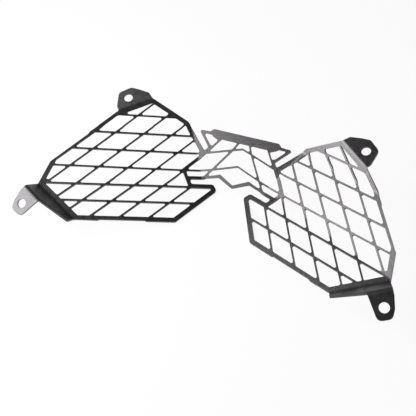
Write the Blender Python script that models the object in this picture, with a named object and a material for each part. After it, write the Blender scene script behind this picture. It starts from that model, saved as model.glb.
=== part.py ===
import math

import bpy
import numpy as np
from mathutils import Matrix, Vector
from mathutils.geometry import delaunay_2d_cdt

# Headlight guard: one laser-cut sheet of steel, folded.
# The flat pattern is drawn in millimetres, x to the side and y up, for the right half.
# The face drawn is the inner one, and the sheet lies under it.

# Sheet and grid of rods
SHEET = 2.0
PITCH = 25.0
DRAWN_PITCH = 25.0
GRID_START = (39.06, -75.19)
FLAT_ROD_DEG = -16.82
STEEP_ROD_DEG = 123.2
GRID_COLUMNS = 7
GRID_ROWS = 8
ROD = 1.4
HALF_ROD = ROD / 2
WINDOW_ROUND = 1.1
ARC_STEP_DEG = 34.0
SMALLEST_WINDOW_SHARE = 0.027
STRIP_DEG = 16.0

# Borders around the wing's windows
INNER_BORDER = 3.8
TOP_BORDER = 3.8
OUTER_BORDER = 3.1
LOW_SIDE_BORDER = 3.8
FLANGE_BORDER = 4.9
BOTTOM_BORDER = 4.0
LOBE_SIDE_BORDER = 4.1
LOBE_TOP_BORDER = 3.7
STEP_DEPTH = 0.8

# Grid lines that the wing's outline follows
OUTER_COLUMN = 6.866
OUTER_STEP_ROW = 4.961
BOTTOM_ROW = -0.152
BOTTOM_STEPS = (0.90, 2.57)
LOBE_COLUMN = -0.076
LOBE_TOP_ROW = 2.175
LOBE_ROW_MARGIN = 0.18
SIDE_CORNER_ROW = 2.18
SLOT_COLUMN = 1.137

# Wing corners off the grid
WING_ROOT = (40.3, 2.0)
WING_SHOULDER = (55.3, 17.2)
WING_CORNER = (158.3, -58.1)
LOBE_TIP = ((17.4, -32.1), (12.9, -37.4))

# Folds of the wing
FOLD_MEET = 16.6
WING_FOLD_DEG = 24.2
WING_FOLD_DIRECTION_DEG = -27.86
WING_FOLD_LENGTH = 62.0
CORNER_FOLD_DEG = 29.7
CORNER_FOLD_DIRECTION_DEG = -19.28
CORNER_FOLD_LENGTH = 85.5
WAIST_FOLD_DEG = 13.1
WAIST_ENDS = ((1.4, 2.75), (6.2, 1.964))
WAIST_FADE = (-5.0, 5.5)
LEAST_ZONE = 1.2
INNER_BEND = 2.0

# Top tab, folded straight from the wing's upper corner, and the line where the windows end before it
STRIP_LINE = ((80.2, 31.7), (122.0, -3.4))
TOP_TAB_FOOT = ((93.6, 26.1), (117.7, 6.2))
TOP_TAB_FOLD_DEG = -37.9
TOP_TAB = ((1.4, 6.5, 2.0), (8.8, 13.0, 3.5), (14.5, 17.1, 3.0), (26.5, 16.4, 4.0), (32.4, 3.6, 3.0))
TOP_TAB_HOLE = (20.1, 8.5)

# Low tab: a flange, then a tab level with the bridge
FLANGE_FOOT = ((121.8, -102.4), (161.3, -80.5))
FLANGE_FOLD_DEG = 42.2
FLANGE_ENDS = (28.0, 46.6)
FLANGE_END_DEPTH = 7.1
LOW_TAB_HEIGHT = 72.4
LOW_TAB = ((18.4, 5.9, 3.0), (16.5, 15.3, 4.0), (13.3, 22.0, 4.0), (2.7, 21.4, 4.0))
LOW_TAB_HOLE = (9.5, 12.8)
HOLE_DIAMETER = 7.8
HOLE_SIDES = 28

# How far the bend lines run past the ends of each fold
CREASE_OVERRUN = (("wing", 3.0, 3.0), ("waist", 6.0, 6.0), ("corner", 3.0, 3.0),
                  ("top_tab", 2.0, 2.0), ("flange", 3.0, 3.0), ("low_tab", 1.5, 1.5))

# Bridge between the wings
PLATE_BOTTOM = 9.2
PLATE_END = ((30.3, 16.8), (33.3, 14.0))
HOOK_TIP = ((41.4, 13.5), (42.6, 12.2))
HOOK_ROOT = (31.1, -0.4)
SLOT_ROOT = (33.8, -4.3)
HOOK_WINDOW = ((29.8, 10.1), (31.0, 11.4), (39.1, 11.7), (30.9, 2.8))
UPPER_CHEVRON = ((8.8, 2.0), (0.0, 4.8))
MIDDLE_CHEVRON = ((22.0, -19.3), (0.0, -11.3))
INNER_ROD_TOP = 5.3
HOOK_WINDOW_HEIGHTS = (7.4, 1.4)
BAR_TOP = ((18.8, -23.9), (42.6, -31.7))
BAR_SHOULDER = (13.5, -21.7)
BAR_VALLEY = (0.0, -28.6)
BAR_BOTTOM = ((14.3, -25.0), (25.2, -28.3), (26.6, -29.4), (38.3, -33.1))
BAR_VALLEY_BOTTOM = (0.0, -31.5)
WAIST_BAR = 2.8
WAIST_BAR_DROP = (-7.7, -10.9)
THICK_ROD_IN = 0.7
THICK_ROD_OUT = 2.1

# Finish and rest
TO_METRES = 0.001
COATING = (0.016, 0.0155, 0.0165, 1.0)
COATING_ROUGHNESS = 0.38


def at(point):
    """Drawn point at the driving pitch"""
    return Vector(point) * (PITCH / DRAWN_PITCH)


def turned(degrees):
    angle = math.radians(degrees)
    return Vector((math.cos(angle), math.sin(angle)))


def grid(column, row):
    """Point of the grid, in steps along the flat and the steep rods"""
    step = turned(FLAT_ROD_DEG) * column + turned(STEEP_ROD_DEG) * row
    return at(GRID_START) + step * PITCH


def grid_row(point):
    """Row of the grid a point is in"""
    along = turned(FLAT_ROD_DEG)
    steep = turned(STEEP_ROD_DEG)
    offset = point - at(GRID_START)
    return along.cross(offset) / along.cross(steep) / PITCH


def right_of(direction):
    return Vector((direction.y, -direction.x))


def meet(line_a, line_b):
    """Crossing of two lines, each a point and a direction"""
    (p, d), (q, e) = line_a, line_b
    share = (q - p).cross(e) / d.cross(e)
    return p + d * share


def edge(start, end, inset=0.0):
    """Line from start to end, moved to its right by inset"""
    direction = (end - start).normalized()
    return start + right_of(direction) * inset, direction


def clipped(polygon, line):
    """Part of a polygon on the right of a line"""
    origin, direction = line
    side = right_of(direction)
    kept = []
    for here, there in zip(polygon, polygon[1:] + polygon[:1]):
        a = side.dot(here - origin)
        b = side.dot(there - origin)
        if a >= 0:
            kept.append(here)
        if a * b < 0:
            kept.append(here.lerp(there, a / (a - b)))
    return kept


def area(polygon):
    pairs = zip(polygon, polygon[1:] + polygon[:1])
    return abs(sum(a.cross(b) for a, b in pairs)) / 2


def corner_arc(before, corner, after, radius):
    """Points of the round at a corner, no longer than the edges beside it allow"""
    back = before - corner
    ahead = after - corner
    turn = math.pi - back.angle(ahead)
    if radius <= 0 or turn < math.radians(4):
        return [corner]
    room = 0.46 * min(back.length, ahead.length)
    reach = min(radius * math.tan(turn / 2), room)
    start = corner + back.normalized() * reach
    end = corner + ahead.normalized() * reach
    round_radius = reach / math.tan(turn / 2)
    middle = (back.normalized() + ahead.normalized()).normalized()
    centre = corner + middle * (round_radius / math.cos(turn / 2))
    pieces = max(1, math.ceil(turn / math.radians(ARC_STEP_DEG)))
    first = start - centre
    swing = first.angle_signed(end - centre)
    return [centre + first @ Matrix.Rotation(swing * k / pieces, 2) for k in range(pieces + 1)]


def rounded(corners):
    """Closed outline with a round at each corner, from points and radii"""
    outline = []
    for k, (corner, radius) in enumerate(corners):
        before = corners[k - 1][0]
        after = corners[(k + 1) % len(corners)][0]
        outline += corner_arc(before, corner, after, radius)
    return outline


def window(sides):
    """Window inside centre lines, from points and the inset of the edge after each"""
    lines = []
    for k, (point, inset) in enumerate(sides):
        lines.append(edge(point, sides[(k + 1) % len(sides)][0], inset))
    corners = [meet(lines[k - 1], lines[k]) for k in range(len(lines))]
    return rounded([(corner, WINDOW_ROUND) for corner in corners])


def mirrored(points):
    """The same points on the left, in the reverse order"""
    return [Vector((-p.x, p.y)) for p in reversed(points)]


class Fold:
    """Fold along a line of the flat sheet. Side is 1 where the far part is on its left, else -1"""

    def __init__(self, start, end, side, degrees):
        self.start = start
        self.end = end
        self.side = side
        self.along = (end - start).normalized()
        self.out = right_of(self.along) * -side
        self.angle = math.radians(degrees)
        radius = INNER_BEND if degrees > 0 else INNER_BEND + SHEET
        self.zone = max(LEAST_ZONE, radius * math.tan(abs(self.angle) / 2))

    def across(self, flat):
        return self.out.dot(flat - self.start)

    def local(self, along, across):
        return self.start + self.along * along + self.out * across

    def turn(self, angle):
        axis = self.out.to_3d().cross(Vector((0, 0, 1)))
        return Matrix.Rotation(angle, 4, axis)

    def matrix(self):
        origin = Matrix.Translation(self.start.to_3d())
        return origin @ self.turn(self.angle) @ origin.inverted()

    def bend(self, point, across, share=1.0):
        """Point after the fold, from how far over the line it is in the flat sheet"""
        angle = self.angle * share
        if across <= -self.zone or abs(angle) < 1e-6:
            return point
        origin = self.start.to_3d()
        rel = point - origin
        if across >= self.zone:
            return origin + self.turn(angle) @ rel
        radius = self.zone / math.tan(angle / 2)
        swing = angle * (across + self.zone) / (2 * self.zone)
        reach = -self.zone + (radius - point.z) * math.sin(swing)
        height = radius - (radius - point.z) * math.cos(swing)
        along = self.along.to_3d()
        flat = origin + along * rel.dot(along) + self.out.to_3d() * reach
        return flat + Vector((0, 0, height))

    def crease(self, before, after):
        """Lines that cut the flat sheet into the strips of the bend"""
        strips = max(2, math.ceil(abs(self.angle) / math.radians(STRIP_DEG)))
        lines = []
        for k in range(strips + 1):
            shift = self.out * (self.zone * (2 * k / strips - 1))
            start = self.start + shift - self.along * before
            lines.append((start, self.end + shift + self.along * after))
        return lines


def level_fold(chain, ends, height):
    """Fold that ends the facet of chain[0] at a height and turns level with the bridge"""
    place = Matrix.Identity(4)
    for fold in reversed(chain):
        place = place @ fold.matrix()
    foot = chain[0]
    corners = []
    for along in ends:
        low = (place @ foot.local(along, 0).to_3d()).z
        rise = (place @ foot.local(along, 1).to_3d()).z - low
        corners.append(foot.local(along, (height - low) / rise))
    slope = math.acos((place.to_3x3() @ Vector((0, 0, 1))).z)
    return Fold(corners[0], corners[1], foot.side, -math.degrees(slope))


def make_folds():
    """Folds of the right half by name"""
    out = turned(WING_FOLD_DIRECTION_DEG)
    root = at(WING_ROOT)
    meeting = root + (at(WING_SHOULDER) - root).normalized() * FOLD_MEET
    wing = Fold(meeting, meeting + right_of(out) * WING_FOLD_LENGTH, 1, WING_FOLD_DEG)
    far = meeting + turned(CORNER_FOLD_DIRECTION_DEG) * CORNER_FOLD_LENGTH
    corner = Fold(meeting, far, 1, CORNER_FOLD_DEG)
    waist = Fold(grid(*WAIST_ENDS[0]), grid(*WAIST_ENDS[1]), -1, WAIST_FOLD_DEG)
    top_tab = Fold(at(TOP_TAB_FOOT[0]), at(TOP_TAB_FOOT[1]), 1, TOP_TAB_FOLD_DEG)
    flange = Fold(at(FLANGE_FOOT[0]), at(FLANGE_FOOT[1]), -1, FLANGE_FOLD_DEG)
    low_tab = level_fold([flange, waist, wing], FLANGE_ENDS, LOW_TAB_HEIGHT)
    return {"wing": wing, "waist": waist, "corner": corner,
            "flange": flange, "top_tab": top_tab, "low_tab": low_tab}


def in_lobe(flat):
    """Is a point in the lobe under the slot, which belongs to the wing"""
    return flat.x > at(LOBE_TIP[1]).x - ROD and grid_row(flat) < LOBE_TOP_ROW + LOBE_ROW_MARGIN


def in_wing(flat):
    """Is a point on the wing's side of its inner edge, and not on the hook"""
    origin, direction = edge(at(WING_ROOT), at(WING_SHOULDER))
    return right_of(direction).dot(flat - origin) > -HALF_ROD


def folded(flat, depth, folds):
    """Place of a point of the flat sheet after all folds"""
    if flat.x < 0:
        left = folded(Vector((-flat.x, flat.y)), depth, folds)
        return Vector((-left.x, left.y, left.z))
    point = flat.to_3d() - Vector((0, 0, depth))
    if in_wing(flat):
        point = folds["top_tab"].bend(point, folds["top_tab"].across(flat))
    if folds["flange"].across(flat) > -folds["flange"].zone:
        point = folds["low_tab"].bend(point, folds["low_tab"].across(flat))
        point = folds["flange"].bend(point, folds["flange"].across(flat))
    if in_wing(flat):
        point = folds["corner"].bend(point, folds["corner"].across(flat))
    over = folds["wing"].across(flat)
    if in_wing(flat) and folds["corner"].across(flat) > 0:
        over = PITCH
    share = (over - WAIST_FADE[0]) / (WAIST_FADE[1] - WAIST_FADE[0])
    share = min(1.0, max(0.0, share))
    if in_lobe(flat):
        over = PITCH
        share = 1.0
    point = folds["waist"].bend(point, folds["waist"].across(flat), share)
    return folds["wing"].bend(point, over)


def top_edge(folds):
    """Outline from the plate to the corner of the wing, past the top tab"""
    tab = folds["top_tab"]
    corners = [(at(PLATE_END[0]), 1.0), (at(PLATE_END[1]), 1.0)]
    corners += [(at(HOOK_TIP[0]), 1.2), (at(HOOK_TIP[1]), 1.2)]
    corners += [(at(HOOK_ROOT), 1.4), (at(SLOT_ROOT), 1.4)]
    corners += [(at(WING_ROOT), 0.0), (at(WING_SHOULDER), 3.0)]
    corners += [(tab.start, 0.0)]
    corners += [(tab.local(a, o), r) for a, o, r in TOP_TAB]
    corners += [(tab.end, 4.0)]
    step = grid(0, 1) - grid(0, 0)
    upper = grid(OUTER_COLUMN, OUTER_STEP_ROW)
    lower = upper + right_of(step).normalized() * -STEP_DEPTH
    corners += [(upper, 2.0), (lower - step * 0.1, 2.0)]
    return corners + [(at(WING_CORNER), 1.0)]


def low_edge(folds):
    """Outline from the corner of the wing to the lobe, past the low tab"""
    tab = folds["low_tab"]
    flange = folds["flange"]
    corners = [(flange.end, 0.0), (tab.end, 0.0)]
    corners += [(tab.local(a, o), r) for a, o, r in LOW_TAB]
    corners += [(tab.start, 0.0), (flange.local(0, FLANGE_END_DEPTH), 1.5)]
    corners += [(flange.start, 0.5)]
    rise = right_of(grid(0, 0) - grid(1, 0)).normalized() * STEP_DEPTH
    for column, lift, run in ((BOTTOM_STEPS[1], 0, 0), (BOTTOM_STEPS[1], 1, -0.08),
                              (BOTTOM_STEPS[0], 1, 0.08), (BOTTOM_STEPS[0], 0, 0)):
        corners.append((grid(column + run, BOTTOM_ROW) + rise * lift, 1.5))
    corners += [(grid(LOBE_COLUMN, BOTTOM_ROW), 2.5), (at(LOBE_TIP[1]), 3.0)]
    corners += [(at(LOBE_TIP[0]), 2.5), (grid(SLOT_COLUMN, LOBE_TOP_ROW), 2.2)]
    return corners + [(at(point), 1.5) for point in reversed(BAR_BOTTOM)]


def outline(folds):
    """Closed outline of the whole flat sheet"""
    right = top_edge(folds) + low_edge(folds)
    left = [(Vector((-p.x, p.y)), r) for p, r in reversed(right)]
    valley = [(at(BAR_VALLEY_BOTTOM), 0.0)]
    return rounded(right + valley + left)


def border_lines(folds):
    """Inner lines of the borders around the wing's mesh"""
    shoulder = at(WING_SHOULDER)
    corner = at(WING_CORNER)
    flange = folds["flange"]
    outer = grid(OUTER_COLUMN, 5)
    lobe = grid(LOBE_COLUMN, 0)
    return [edge(at(WING_ROOT), shoulder, INNER_BORDER),
            edge(shoulder, folds["top_tab"].start, TOP_BORDER),
            edge(at(STRIP_LINE[0]), at(STRIP_LINE[1])),
            edge(outer, grid(OUTER_COLUMN, 4), OUTER_BORDER),
            edge(corner, flange.end, LOW_SIDE_BORDER),
            edge(flange.end, flange.start, FLANGE_BORDER),
            edge(grid(1, BOTTOM_ROW), grid(0, BOTTOM_ROW), BOTTOM_BORDER),
            edge(lobe, grid(LOBE_COLUMN, 1), LOBE_SIDE_BORDER)]


def cell_sides(column, row):
    """Insets of a cell's four sides: steep rod before it, row above, steep rod after, row below"""
    insets = [ROD / 2] * 4
    if (column, row) == (2, 3):
        insets[0] = THICK_ROD_OUT
    return insets


def own_cuts(column, row):
    """Lines that cut one cell only"""
    if (column, row) == (0, 1):
        return [edge(grid(0, LOBE_TOP_ROW), grid(1, LOBE_TOP_ROW), LOBE_TOP_BORDER)]
    if (column, row) == (1, 2):
        top, foot = waist_bar()
        return [edge(foot, top, WAIST_BAR / 2)]
    if (column, row) == (6, 2):
        return [edge(grid(7, SIDE_CORNER_ROW), grid(6, SIDE_CORNER_ROW))]
    return []


def tidy(polygon):
    """Polygon without points that lie on top of the one before"""
    least = WINDOW_ROUND / 20
    return [p for k, p in enumerate(polygon) if (p - polygon[k - 1]).length > least]


def mesh_windows(folds):
    """Windows of the right wing, each a cell of the grid cut by the borders"""
    borders = border_lines(folds)
    windows = []
    for column in range(GRID_COLUMNS):
        for row in range(GRID_ROWS):
            if row >= 2 and column < (1 if row == 2 else 2):
                continue
            corners = [grid(column, row), grid(column, row + 1),
                       grid(column + 1, row + 1), grid(column + 1, row)]
            insets = cell_sides(column, row)
            lines = [edge(corners[k], corners[(k + 1) % 4], insets[k]) for k in range(4)]
            lines += own_cuts(column, row)
            shape = corners
            for line in borders + lines:
                shape = clipped(shape, line)
            if len(shape) > 2 and area(shape) > SMALLEST_WINDOW_SHARE * area(corners):
                windows.append(rounded([(p, WINDOW_ROUND) for p in tidy(shape)]))
    return windows


def waist_bar():
    """Centre line of the bar from the end of the thick rod down to the lobe"""
    top = grid(2, 3)
    return top, top + at(WAIST_BAR_DROP)


def rod_at_height(height):
    """Point of the hook's rod at a height over the middle of the bridge"""
    line = (grid(2, 4), turned(STEEP_ROD_DEG))
    return meet(line, (at((0, height)), Vector((1, 0))))


def side_windows():
    """Windows of the bridge on its right half"""
    half = ROD / 2
    inner = at((INNER_ROD_TOP, PLATE_BOTTOM))
    high = at(UPPER_CHEVRON[0])
    low = at(MIDDLE_CHEVRON[0])
    bar = edge(at(BAR_TOP[0]), at(BAR_TOP[1]))
    bar_left = meet((low, turned(STEEP_ROD_DEG)), bar)
    bar_right = meet(edge(*waist_bar()), bar)
    plate = [(inner, 0), (rod_at_height(PLATE_BOTTOM), half), (grid(2, 4), half), (high, half)]
    hook = [(rod_at_height(HOOK_WINDOW_HEIGHTS[0]), 0)]
    hook += [(at(point), 0) for point in HOOK_WINDOW]
    hook += [(rod_at_height(HOOK_WINDOW_HEIGHTS[1]), half)]
    middle = [(high, half), (grid(2, 4), THICK_ROD_IN), (grid(2, 3), half), (low, half)]
    sliver = [(low, half), (grid(2, 3), WAIST_BAR / 2), (bar_right, 0), (bar_left, half)]
    return [window(sides) for sides in (plate, hook, middle, sliver)]


def both_halves(apex, right, last):
    """Sides of a window over the middle: its top point, its right half and its bottom point"""
    left = []
    insets = [inset for point, inset in apex + right]
    for k, (point, inset) in enumerate(reversed(right)):
        left.append((Vector((-point.x, point.y)), insets[len(right) - 1 - k]))
    return apex + right + last + left


def middle_windows():
    """Windows over the middle of the bridge"""
    half = ROD / 2
    inner = at((INNER_ROD_TOP, PLATE_BOTTOM))
    high = at(UPPER_CHEVRON[0])
    low = at(MIDDLE_CHEVRON[0])
    peak = at(UPPER_CHEVRON[1])
    crest = at(MIDDLE_CHEVRON[1])
    bar = edge(at(BAR_TOP[0]), at(BAR_TOP[1]))
    bar_left = meet((low, turned(STEEP_ROD_DEG)), bar)
    mirror = Vector((-1, 1))
    upper = [(inner * mirror, 0), (inner, half), (high, half), (peak, half), (high * mirror, half)]
    middle = both_halves([(peak, half)], [(high, half), (low, half)], [(crest, half)])
    right = [(low, half), (bar_left, 0), (at(BAR_TOP[0]), 0), (at(BAR_SHOULDER), 0)]
    lower = both_halves([(crest, half)], right, [(at(BAR_VALLEY), 0)])
    return [window(sides) for sides in (upper, middle, lower)]


def hole(fold, place):
    """Round hole of a tab"""
    centre = fold.local(*place)
    radius = HOLE_DIAMETER / 2
    return [centre + turned(-360 * k / HOLE_SIDES) * radius for k in range(HOLE_SIDES)]


def openings(folds):
    """Every window and hole of the flat sheet"""
    right = mesh_windows(folds) + side_windows()
    right.append(hole(folds["top_tab"], TOP_TAB_HOLE))
    right.append(hole(folds["low_tab"], LOW_TAB_HOLE))
    return right + [mirrored(shape) for shape in right] + middle_windows()


def crease_lines(folds):
    """Lines of both halves that the sheet is cut along to bend"""
    lines = []
    for name, before, after in CREASE_OVERRUN:
        lines += folds[name].crease(before, after)
    return lines + [mirrored(line) for line in lines]


def inside(point, polygon):
    hit = False
    for a, b in zip(polygon, polygon[1:] + polygon[:1]):
        if (a.y > point.y) != (b.y > point.y):
            if point.x < a.x + (point.y - a.y) / (b.y - a.y) * (b.x - a.x):
                hit = not hit
    return hit


def box_of(polygon):
    xs = [p.x for p in polygon]
    ys = [p.y for p in polygon]
    return min(xs), max(xs), min(ys), max(ys)


def flat_sheet(folds):
    """Points and triangles of the flat sheet"""
    shape = outline(folds)
    cut = openings(folds)
    loops = [shape] + cut
    points = []
    edges = []
    for loop in loops:
        first = len(points)
        points += loop
        count = len(loop)
        edges += [(first + k, first + (k + 1) % count) for k in range(count)]
    for start, end in crease_lines(folds):
        edges.append((len(points), len(points) + 1))
        points += [start, end]
    points, _, faces, _, _, _ = delaunay_2d_cdt(points, edges, [], 0, 1e-4)
    boxes = [box_of(loop) for loop in cut]
    kept = []
    for face in faces:
        centre = (points[face[0]] + points[face[1]] + points[face[2]]) / 3
        if not inside(centre, shape):
            continue
        gone = False
        for loop, (x0, x1, y0, y1) in zip(cut, boxes):
            if x0 < centre.x < x1 and y0 < centre.y < y1 and inside(centre, loop):
                gone = True
        if not gone:
            kept.append(tuple(face))
    return points, kept


def solid_faces(faces, count):
    """Faces of the sheet's two sides and of its cut edges"""
    directed = set()
    for face in faces:
        for k in range(3):
            directed.add((face[k], face[(k + 1) % 3]))
    solid = list(faces)
    solid += [tuple(v + count for v in reversed(face)) for face in faces]
    for a, b in sorted(directed):
        if (b, a) not in directed:
            solid.append((b, a, a + count))
            solid.append((b, a + count, b + count))
    return solid


def centre_of_mass(points, faces):
    a, b, c = (points[faces[:, k]] for k in range(3))
    volumes = np.einsum("ij,ij->i", a, np.cross(b, c))
    return (volumes[:, None] * (a + b + c)).sum(0) / volumes.sum() / 4


def rest_tilt(places, faces):
    """Turn about X that puts the lowest points on both sides of the centre of mass level"""
    points = np.array([tuple(p) for p in places])
    centre = centre_of_mass(points, np.array(faces))
    low = -math.pi / 2
    high = math.pi / 2
    for _ in range(60):
        tilt = (low + high) / 2
        ys = points[:, 1] * math.cos(tilt) - points[:, 2] * math.sin(tilt)
        zs = points[:, 1] * math.sin(tilt) + points[:, 2] * math.cos(tilt)
        behind = ys > centre[1] * math.cos(tilt) - centre[2] * math.sin(tilt)
        if zs[behind].min() > zs[~behind].min():
            high = tilt
        else:
            low = tilt
    return tilt


def coating():
    material = bpy.data.materials.new("satin black coating")
    material.use_nodes = True
    shader = material.node_tree.nodes["Principled BSDF"]
    shader.inputs["Base Color"].default_value = COATING
    shader.inputs["Roughness"].default_value = COATING_ROUGHNESS
    shader.inputs["Metallic"].default_value = 0.0
    return material


def build():
    for thing in list(bpy.data.objects):
        bpy.data.objects.remove(thing)
    folds = make_folds()
    points, faces = flat_sheet(folds)
    used = sorted({v for face in faces for v in face})
    place = {v: k for k, v in enumerate(used)}
    faces = [tuple(place[v] for v in face) for face in faces]
    places = [folded(points[v], 0.0, folds) for v in used]
    places += [folded(points[v], SHEET, folds) for v in used]
    solid = solid_faces(faces, len(used))
    rest = Matrix.Rotation(rest_tilt(places, solid), 3, "X")
    places = [rest @ p * TO_METRES for p in places]
    low = min(p.z for p in places)
    ys = [p.y for p in places]
    shift = Vector((0, -(min(ys) + max(ys)) / 2, -low))
    mesh = bpy.data.meshes.new("headlight_guard")
    mesh.from_pydata([p + shift for p in places], [], solid)
    mesh.validate()
    mesh.shade_smooth()
    mesh.set_sharp_from_angle(angle=math.radians(30))
    mesh.materials.append(coating())
    guard = bpy.data.objects.new("headlight_guard", mesh)
    bpy.context.scene.collection.objects.link(guard)


build()
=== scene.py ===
# Looks for the motorcycle headlight guard: coated steel sheet, pale floor and studio light

import bmesh
import bpy
from mathutils import Matrix, Vector


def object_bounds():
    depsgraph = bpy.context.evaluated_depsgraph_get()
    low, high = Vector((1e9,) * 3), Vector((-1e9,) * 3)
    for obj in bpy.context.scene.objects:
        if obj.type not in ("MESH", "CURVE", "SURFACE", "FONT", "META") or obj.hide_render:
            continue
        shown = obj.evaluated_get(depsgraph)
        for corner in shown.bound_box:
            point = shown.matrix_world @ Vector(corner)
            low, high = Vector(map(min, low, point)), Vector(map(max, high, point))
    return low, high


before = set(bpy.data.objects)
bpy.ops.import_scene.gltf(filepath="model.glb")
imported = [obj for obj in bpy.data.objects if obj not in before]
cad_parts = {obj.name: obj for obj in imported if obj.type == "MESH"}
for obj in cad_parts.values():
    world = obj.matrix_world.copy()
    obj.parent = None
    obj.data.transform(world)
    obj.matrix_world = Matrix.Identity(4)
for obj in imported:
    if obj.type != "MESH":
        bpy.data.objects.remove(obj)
CAD_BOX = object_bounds()

# Camera in metres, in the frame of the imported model
CAMERA_PLACE = (0.15443, -0.32833, 0.46074)
CAMERA_RIGHT = (0.92694, 0.36861, -0.07008)
CAMERA_UP = (-0.24664, 0.73935, 0.62653)
CAMERA_LENS = 58.98
CAMERA_SENSOR = 36.0
CAMERA_NEAR = 0.01

# Lamps: name, place, size along and across in metres, and power in watts
SOFTBOXES = (
    ("key_softbox", (-0.41, -0.153, 0.334), (0.49, 0.54), 5.7),
)
AIM = (0.0, 0.0, 0.03)

# Floor: its side in metres, its colour under the lamps, and its share of plain white
# for the camera
FLOOR_SIZE = 40.0
FLOOR_COLOUR = (0.90, 0.90, 0.90, 1.0)
FLOOR_ROUGHNESS = 0.9
FLOOR_WHITENESS = 0.92
PLAIN_WHITE = 1.0

# Room light: the ceiling is dim, and the walls are pale up to a low height
CEILING_LIGHT = 0.09
WALL_LIGHT = 0.93
WALL_END = (0.12, 0.28)
ROOM_COLOUR = (1.0, 1.0, 1.0, 1.0)

# Coating colours, linear
COATING_BLACK = (0.004, 0.0036, 0.004, 1.0)
COATING_WORN = (0.012, 0.0108, 0.0115, 1.0)
COATING_SHEEN = (0.995, 0.96, 0.99, 1.0)
COATING_IOR = 1.86

# Orange peel: noise cells to a metre, and the height of the peel in metres
PEEL_SCALE = 650.0
PEEL_DETAIL = 3.0
PEEL_ROUGHNESS = 0.55
PEEL_STRENGTH = 0.5
PEEL_HEIGHT = 0.00014

# Mottling: noise cells to a metre, then the noise levels between which the colour
# goes from black to worn, and the roughness from its least to its most
MOTTLE_SCALE = 220.0
MOTTLE_DETAIL = 5.0
MOTTLE_TINT = (0.35, 0.75)
MOTTLE_SHINE = (0.3, 0.7)
SHINE_ROUGHNESS = (0.34, 0.43)


def add_node(tree, kind, **values):
    """Add a node and set its properties."""
    node = tree.nodes.new(kind)
    for name, value in values.items():
        setattr(node, name, value)
    return node


def set_inputs(node, values):
    """Set the node's sockets that are the same all over."""
    for name, value in values.items():
        node.inputs[name].default_value = value


def new_material(name):
    """Make an empty node material and return it with its tree."""
    material = bpy.data.materials.new(name)
    material.use_nodes = True
    material.node_tree.nodes.clear()
    return material, material.node_tree


def coating_material():
    """Black stoved coating on steel: fine orange peel, faint mottling and a soft shine."""
    material, tree = new_material("satin_black_coating")
    place = add_node(tree, "ShaderNodeTexCoord")
    link = tree.links.new

    peel = add_node(tree, "ShaderNodeTexNoise")
    set_inputs(peel, {
        "Scale": PEEL_SCALE, "Detail": PEEL_DETAIL, "Roughness": PEEL_ROUGHNESS})
    link(place.outputs["Object"], peel.inputs["Vector"])
    bump = add_node(tree, "ShaderNodeBump")
    set_inputs(bump, {"Strength": PEEL_STRENGTH, "Distance": PEEL_HEIGHT})
    link(peel.outputs["Fac"], bump.inputs["Height"])

    patches = add_node(tree, "ShaderNodeTexNoise")
    set_inputs(patches, {"Scale": MOTTLE_SCALE, "Detail": MOTTLE_DETAIL})
    link(place.outputs["Object"], patches.inputs["Vector"])
    tint = add_node(tree, "ShaderNodeValToRGB")
    stops = zip(tint.color_ramp.elements, MOTTLE_TINT, (COATING_BLACK, COATING_WORN))
    for stop, level, colour in stops:
        stop.position = level
        stop.color = colour
    link(patches.outputs["Fac"], tint.inputs["Fac"])
    shine = add_node(tree, "ShaderNodeMapRange")
    set_inputs(shine, {
        "From Min": MOTTLE_SHINE[0], "From Max": MOTTLE_SHINE[1],
        "To Min": SHINE_ROUGHNESS[0], "To Max": SHINE_ROUGHNESS[1]})
    link(patches.outputs["Fac"], shine.inputs["Value"])

    shader = add_node(tree, "ShaderNodeBsdfPrincipled")
    set_inputs(shader, {
        "Metallic": 0.0, "IOR": COATING_IOR, "Specular Tint": COATING_SHEEN})
    link(tint.outputs["Color"], shader.inputs["Base Color"])
    link(shine.outputs["Result"], shader.inputs["Roughness"])
    link(bump.outputs["Normal"], shader.inputs["Normal"])
    out = add_node(tree, "ShaderNodeOutputMaterial")
    link(shader.outputs["BSDF"], out.inputs["Surface"])
    return material


def seen_white(tree):
    """Give 1 for rays from the camera, mirrors and glass, else 0."""
    path = add_node(tree, "ShaderNodeLightPath")
    first = add_node(tree, "ShaderNodeMath", operation="MAXIMUM")
    tree.links.new(path.outputs["Is Camera Ray"], first.inputs[0])
    tree.links.new(path.outputs["Is Glossy Ray"], first.inputs[1])
    both = add_node(tree, "ShaderNodeMath", operation="MAXIMUM")
    tree.links.new(first.outputs["Value"], both.inputs[0])
    tree.links.new(path.outputs["Is Transmission Ray"], both.inputs[1])
    return both.outputs["Value"]


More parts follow.
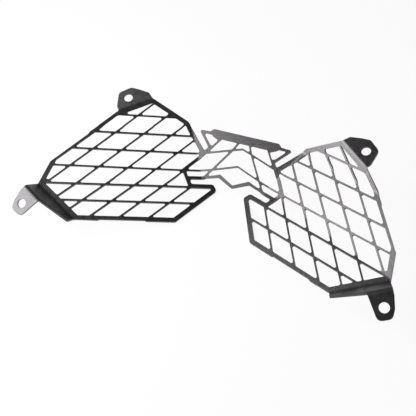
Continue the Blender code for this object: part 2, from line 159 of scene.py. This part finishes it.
def make_floor():
    """Lay a large pale floor that takes the object's shadow."""
    mesh = bpy.data.meshes.new("floor")
    sheet = bmesh.new()
    bmesh.ops.create_grid(sheet, x_segments=1, y_segments=1, size=FLOOR_SIZE / 2)
    bmesh.ops.translate(sheet, verts=sheet.verts, vec=(0.0, 0.0, CAD_BOX[0][2]))
    sheet.to_mesh(mesh)
    sheet.free()
    floor = bpy.data.objects.new("floor", mesh)
    bpy.context.scene.collection.objects.link(floor)
    material, tree = new_material("pale_floor")
    shader = add_node(tree, "ShaderNodeBsdfPrincipled")
    set_inputs(shader, {"Base Color": FLOOR_COLOUR, "Roughness": FLOOR_ROUGHNESS})
    white = add_node(tree, "ShaderNodeEmission")
    set_inputs(white, {"Strength": PLAIN_WHITE})
    share = add_node(tree, "ShaderNodeMath", operation="MULTIPLY")
    tree.links.new(seen_white(tree), share.inputs[0])
    share.inputs[1].default_value = FLOOR_WHITENESS
    mix = add_node(tree, "ShaderNodeMixShader")
    tree.links.new(share.outputs["Value"], mix.inputs["Fac"])
    tree.links.new(shader.outputs["BSDF"], mix.inputs[1])
    tree.links.new(white.outputs["Emission"], mix.inputs[2])
    out = add_node(tree, "ShaderNodeOutputMaterial")
    tree.links.new(mix.outputs["Shader"], out.inputs["Surface"])
    mesh.materials.append(material)


def make_world():
    """Light the room softly, with pale walls that fade up to a dim ceiling."""
    world = bpy.data.worlds.new("studio")
    world.use_nodes = True
    tree = world.node_tree
    tree.nodes.clear()
    place = add_node(tree, "ShaderNodeTexCoord")
    split = add_node(tree, "ShaderNodeSeparateXYZ")
    tree.links.new(place.outputs["Generated"], split.inputs["Vector"])
    level = add_node(tree, "ShaderNodeMapRange", interpolation_type="SMOOTHSTEP")
    set_inputs(level, {
        "From Min": WALL_END[0], "From Max": WALL_END[1],
        "To Min": WALL_LIGHT, "To Max": CEILING_LIGHT})
    tree.links.new(split.outputs["Z"], level.inputs["Value"])
    room = add_node(tree, "ShaderNodeBackground")
    set_inputs(room, {"Color": ROOM_COLOUR})
    tree.links.new(level.outputs["Result"], room.inputs["Strength"])
    out = add_node(tree, "ShaderNodeOutputWorld")
    tree.links.new(room.outputs["Background"], out.inputs["Surface"])
    bpy.context.scene.world = world


def make_lamps():
    """Stand the softboxes round the object, each aimed at it and unseen itself."""
    for name, place, size, power in SOFTBOXES:
        light = bpy.data.lights.new(name, "AREA")
        light.shape = "RECTANGLE"
        light.size, light.size_y = size
        light.energy = power
        lamp = bpy.data.objects.new(name, light)
        bpy.context.scene.collection.objects.link(lamp)
        lamp.location = place
        lamp.visible_camera = False
        aim = Vector(AIM) - Vector(place)
        lamp.rotation_euler = aim.to_track_quat("-Z", "Y").to_euler()


def make_camera():
    """Stand the camera where the photograph was taken."""
    data = bpy.data.cameras.new("camera")
    data.sensor_width = CAMERA_SENSOR
    data.lens = CAMERA_LENS
    data.clip_start = CAMERA_NEAR
    camera = bpy.data.objects.new("camera", data)
    bpy.context.scene.collection.objects.link(camera)
    right = Vector(CAMERA_RIGHT).normalized()
    up = Vector(CAMERA_UP)
    up = (up - right * up.dot(right)).normalized()
    turn = Matrix((right, up, right.cross(up))).transposed()
    camera.matrix_world = Matrix.Translation(CAMERA_PLACE) @ turn.to_4x4()
    bpy.context.scene.camera = camera


def dress_guard():
    """Give the sheet its coating."""
    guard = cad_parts["headlight_guard"]
    coating = coating_material()
    for slot in guard.material_slots:
        slot.material = coating


make_camera()
make_floor()
make_world()
make_lamps()
dress_guard()
bpy.context.scene.view_settings.view_transform = "Standard"
